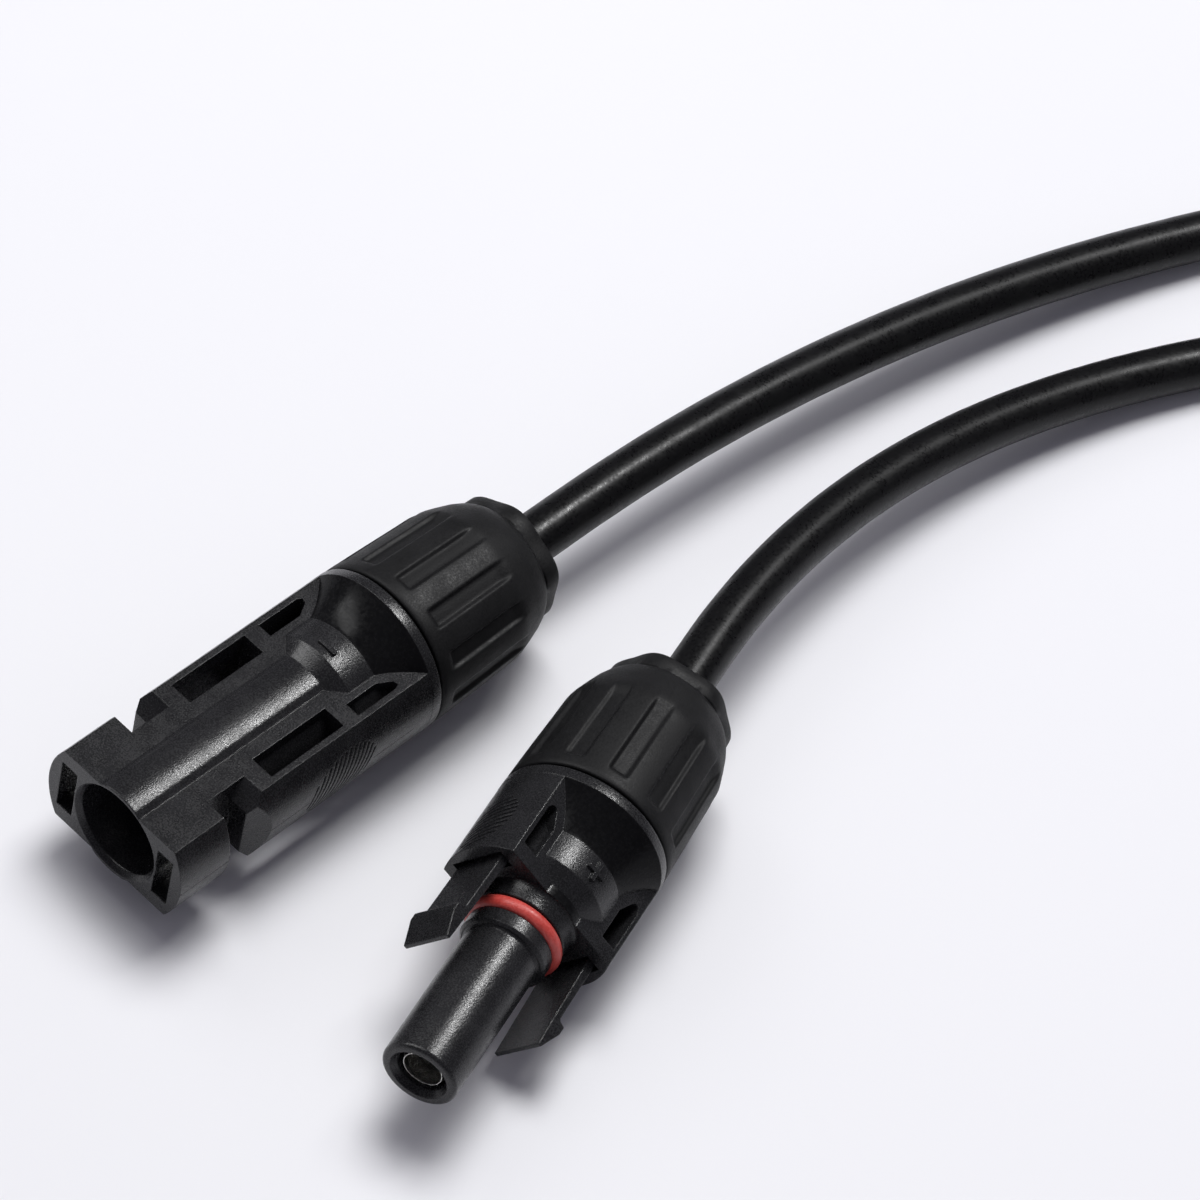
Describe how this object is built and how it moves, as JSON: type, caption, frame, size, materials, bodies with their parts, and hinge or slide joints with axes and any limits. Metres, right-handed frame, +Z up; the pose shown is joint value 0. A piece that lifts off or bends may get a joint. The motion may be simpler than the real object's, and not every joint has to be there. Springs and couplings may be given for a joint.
{
  "type": "solar cable connector",
  "caption": "Unmated photovoltaic cable connector pair: slotted socket half and sprung plug half, each with a screwed cap nut and a short black cable.",
  "frame": {"origin": "middle of the overall box at table height, with the pair lying on the table", "axes": "+Y along the socket half's axis, from its mating mouth towards its cable; +Z up from the table; +X towards the plug half"},
  "size_m": [0.0536, 0.1764, 0.0191],
  "materials": {
    "housing_plastic": "fine grained moulded black",
    "nut_plastic": "matte moulded black",
    "jacket": "satin black extruded sheath",
    "insulation": "off-white satin",
    "tinned": "tin plated copper",
    "spring": "bright spring steel",
    "silicone": "satin red silicone",
    "gland": "soft matte dark grey",
    "cage": "moulded black"
  },
  "bodies": {
    "socket_lead": {"socket_housing": "housing_plastic", "pin_contact": "tinned", "socket_contact_clip": "spring", "socket_seal": "gland", "socket_cable_jacket": "jacket", "socket_cable_insulation": "insulation", "socket_cable_conductor": "tinned"},
    "socket_clamp_cage": {"socket_clamp_cage": "cage"},
    "socket_cap_nut": {"socket_cap_nut": "nut_plastic"},
    "plug_lead": {"plug_housing": "housing_plastic", "nose_o_ring": "silicone", "barrel_contact": "tinned", "louver_band": "spring", "plug_contact_clip": "spring", "plug_seal": "gland", "plug_cable_jacket": "jacket", "plug_cable_insulation": "insulation", "plug_cable_conductor": "tinned"},
    "plug_clamp_cage": {"plug_clamp_cage": "cage"},
    "plug_cap_nut": {"plug_cap_nut": "nut_plastic"},
    "latch_arm_right": {"latch_arm_right": "housing_plastic"},
    "latch_arm_left": {"latch_arm_left": "housing_plastic"}
  },
  "joints": [
    {"name": "socket_cage_slide", "type": "slide", "parent": "socket_lead", "child": "socket_clamp_cage", "axis": [0, 1, 0], "range_m": [0, 0.00605]},
    {"name": "socket_nut_turn", "type": "hinge", "parent": "socket_clamp_cage", "child": "socket_cap_nut", "pos_m": [-0.01733, -0.04319, 0.00955], "axis": [0, 1, 0], "range_deg": [0, 1080]},
    {"name": "plug_lead_swing", "type": "hinge", "parent": "socket_lead", "child": "plug_lead", "pos_m": [0.01467, 0.06481, 0.0028], "axis": [0, 0, 1], "range_deg": [-2, 15]},
    {"name": "plug_cage_slide", "type": "slide", "parent": "plug_lead", "child": "plug_clamp_cage", "axis": [-0.2855, 0.9584, 0], "range_m": [0, 0.00605]},
    {"name": "plug_nut_turn", "type": "hinge", "parent": "plug_clamp_cage", "child": "plug_cap_nut", "pos_m": [0.01, -0.04368, 0.00955], "axis": [-0.2855, 0.9584, 0], "range_deg": [0, 1080]},
    {"name": "latch_right_flex", "type": "hinge", "parent": "plug_lead", "child": "latch_arm_right", "pos_m": [0.02113, -0.06123, 0.00517], "axis": [-0.5866, -0.1747, -0.7908], "range_deg": [0, 6]},
    {"name": "latch_left_flex", "type": "hinge", "parent": "plug_lead", "child": "latch_arm_left", "pos_m": [0.01029, -0.06446, 0.01393], "axis": [0.5866, 0.1747, 0.7908], "range_deg": [0, 6]}
  ],
  "couplings": [
    {"joint": "socket_cage_slide", "follows": "socket_nut_turn", "m_per_rad": 0.00031831},
    {"joint": "plug_cage_slide", "follows": "plug_nut_turn", "m_per_rad": 0.00031831}
  ]
}
